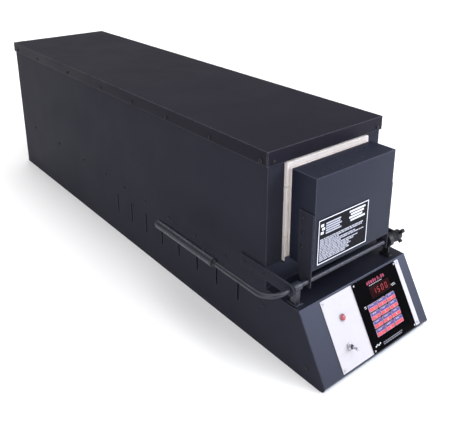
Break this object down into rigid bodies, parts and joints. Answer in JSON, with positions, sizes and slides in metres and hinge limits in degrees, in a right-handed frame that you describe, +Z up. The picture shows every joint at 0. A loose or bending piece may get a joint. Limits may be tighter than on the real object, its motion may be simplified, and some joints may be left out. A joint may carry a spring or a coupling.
{
  "type": "heat-treating kiln",
  "caption": "Long electric kiln that loads from the front through a drop-down door with a side handle, with a sloped digital control panel below the door.",
  "frame": {"origin": "centre of the footprint, on the surface that the kiln stands on", "axes": "+Z up, +Y from the door towards the back, +X to the right of someone facing the door"},
  "size_m": [0.397, 1.4444, 0.4315],
  "materials": {
    "black_paint": "satin charcoal powder coat",
    "front_paint": "satin blue-grey powder coat",
    "dark_steel": "satin dark grey enamel on steel",
    "bright_steel": "polished plating",
    "firebrick": "matte porous insulating brick",
    "blanket": "matte ceramic fibre",
    "element_wire": "oxidised resistance wire",
    "ceramic": "matte porcelain",
    "plate_white": "satin white",
    "overlay": "satin black film",
    "key_face": "printed film",
    "display": "dark red window",
    "lens": "clear red",
    "board": "solder mask",
    "relay_case": "moulded",
    "data_plate": "printed plate"
  },
  "bodies": {
    "kiln_body": {"left_side_panel": "black_paint", "right_side_panel": "black_paint", "rear_panel": "black_paint", "lid_cover": "black_paint", "case_floor_plate": "black_paint", "base_bottom_plate": "black_paint", "base_front_cover": "front_paint", "roof_brick": "firebrick", "floor_brick": "firebrick", "left_wall_brick": "firebrick", "right_wall_brick": "firebrick", "rear_wall_brick": "firebrick", "top_blanket": "blanket", "left_blanket": "blanket", "right_blanket": "blanket", "left_heating_element": "element_wire", "right_heating_element": "element_wire", "left_terminal_block": "ceramic", "right_terminal_block": "ceramic", "thermocouple": "ceramic", "relay": "relay_case", "transformer": "relay_case", "controller_board": "board", "cord_gland": "relay_case", "control_plate": "plate_white", "keypad_overlay": "overlay", "display_window": "display", "pilot_bezel": "bright_steel", "pilot_lens": "lens", "toggle_switch_body": "bright_steel", "left_hinge_arm": "black_paint", "right_hinge_arm": "black_paint", "left_bearing_block": "dark_steel", "right_bearing_block": "dark_steel", "torsion_spring": "dark_steel"},
    "door": {"door_shell": "front_paint", "door_brick": "firebrick", "left_door_bracket": "black_paint", "right_door_bracket": "black_paint", "hinge_shaft": "dark_steel", "handle_arm": "dark_steel", "handle_collar": "dark_steel", "handle_grip": "dark_steel", "spring_collar": "dark_steel", "upper_tension_bolt": "dark_steel", "lower_tension_bolt": "dark_steel", "data_plate": "data_plate"},
    "toggle": {"toggle_lever": "bright_steel"},
    "key_1_body": {"key_1": "key_face"},
    "key_2_body": {"key_2": "key_face"},
    "key_3_body": {"key_3": "key_face"},
    "key_4_body": {"key_4": "key_face"},
    "key_5_body": {"key_5": "key_face"},
    "key_6_body": {"key_6": "key_face"},
    "key_7_body": {"key_7": "key_face"},
    "key_8_body": {"key_8": "key_face"},
    "key_9_body": {"key_9": "key_face"},
    "key_10_body": {"key_10": "key_face"},
    "key_11_body": {"key_11": "key_face"},
    "key_12_body": {"key_12": "key_face"}
  },
  "joints": [
    {"name": "door_hinge", "type": "hinge", "parent": "kiln_body", "child": "door", "pos_m": [0, -0.61925, 0.176], "axis": [1, 0, 0], "range_deg": [0, 90]},
    {"name": "toggle_tilt", "type": "hinge", "parent": "kiln_body", "child": "toggle", "pos_m": [-0.0726, -0.69828, 0.05134], "axis": [1, 0, 0], "range_deg": [-26, 0]},
    {"name": "key_1_press", "type": "slide", "parent": "kiln_body", "child": "key_1_body", "axis": [0, 0.8657, -0.5005], "range_m": [0, 0.0006], "stiffness_N_per_m": 400},
    {"name": "key_2_press", "type": "slide", "parent": "kiln_body", "child": "key_2_body", "axis": [0, 0.8657, -0.5005], "range_m": [0, 0.0006], "stiffness_N_per_m": 400},
    {"name": "key_3_press", "type": "slide", "parent": "kiln_body", "child": "key_3_body", "axis": [0, 0.8657, -0.5005], "range_m": [0, 0.0006], "stiffness_N_per_m": 400},
    {"name": "key_4_press", "type": "slide", "parent": "kiln_body", "child": "key_4_body", "axis": [0, 0.8657, -0.5005], "range_m": [0, 0.0006], "stiffness_N_per_m": 400},
    {"name": "key_5_press", "type": "slide", "parent": "kiln_body", "child": "key_5_body", "axis": [0, 0.8657, -0.5005], "range_m": [0, 0.0006], "stiffness_N_per_m": 400},
    {"name": "key_6_press", "type": "slide", "parent": "kiln_body", "child": "key_6_body", "axis": [0, 0.8657, -0.5005], "range_m": [0, 0.0006], "stiffness_N_per_m": 400},
    {"name": "key_7_press", "type": "slide", "parent": "kiln_body", "child": "key_7_body", "axis": [0, 0.8657, -0.5005], "range_m": [0, 0.0006], "stiffness_N_per_m": 400},
    {"name": "key_8_press", "type": "slide", "parent": "kiln_body", "child": "key_8_body", "axis": [0, 0.8657, -0.5005], "range_m": [0, 0.0006], "stiffness_N_per_m": 400},
    {"name": "key_9_press", "type": "slide", "parent": "kiln_body", "child": "key_9_body", "axis": [0, 0.8657, -0.5005], "range_m": [0, 0.0006], "stiffness_N_per_m": 400},
    {"name": "key_10_press", "type": "slide", "parent": "kiln_body", "child": "key_10_body", "axis": [0, 0.8657, -0.5005], "range_m": [0, 0.0006], "stiffness_N_per_m": 400},
    {"name": "key_11_press", "type": "slide", "parent": "kiln_body", "child": "key_11_body", "axis": [0, 0.8657, -0.5005], "range_m": [0, 0.0006], "stiffness_N_per_m": 400},
    {"name": "key_12_press", "type": "slide", "parent": "kiln_body", "child": "key_12_body", "axis": [0, 0.8657, -0.5005], "range_m": [0, 0.0006], "stiffness_N_per_m": 400}
  ]
}
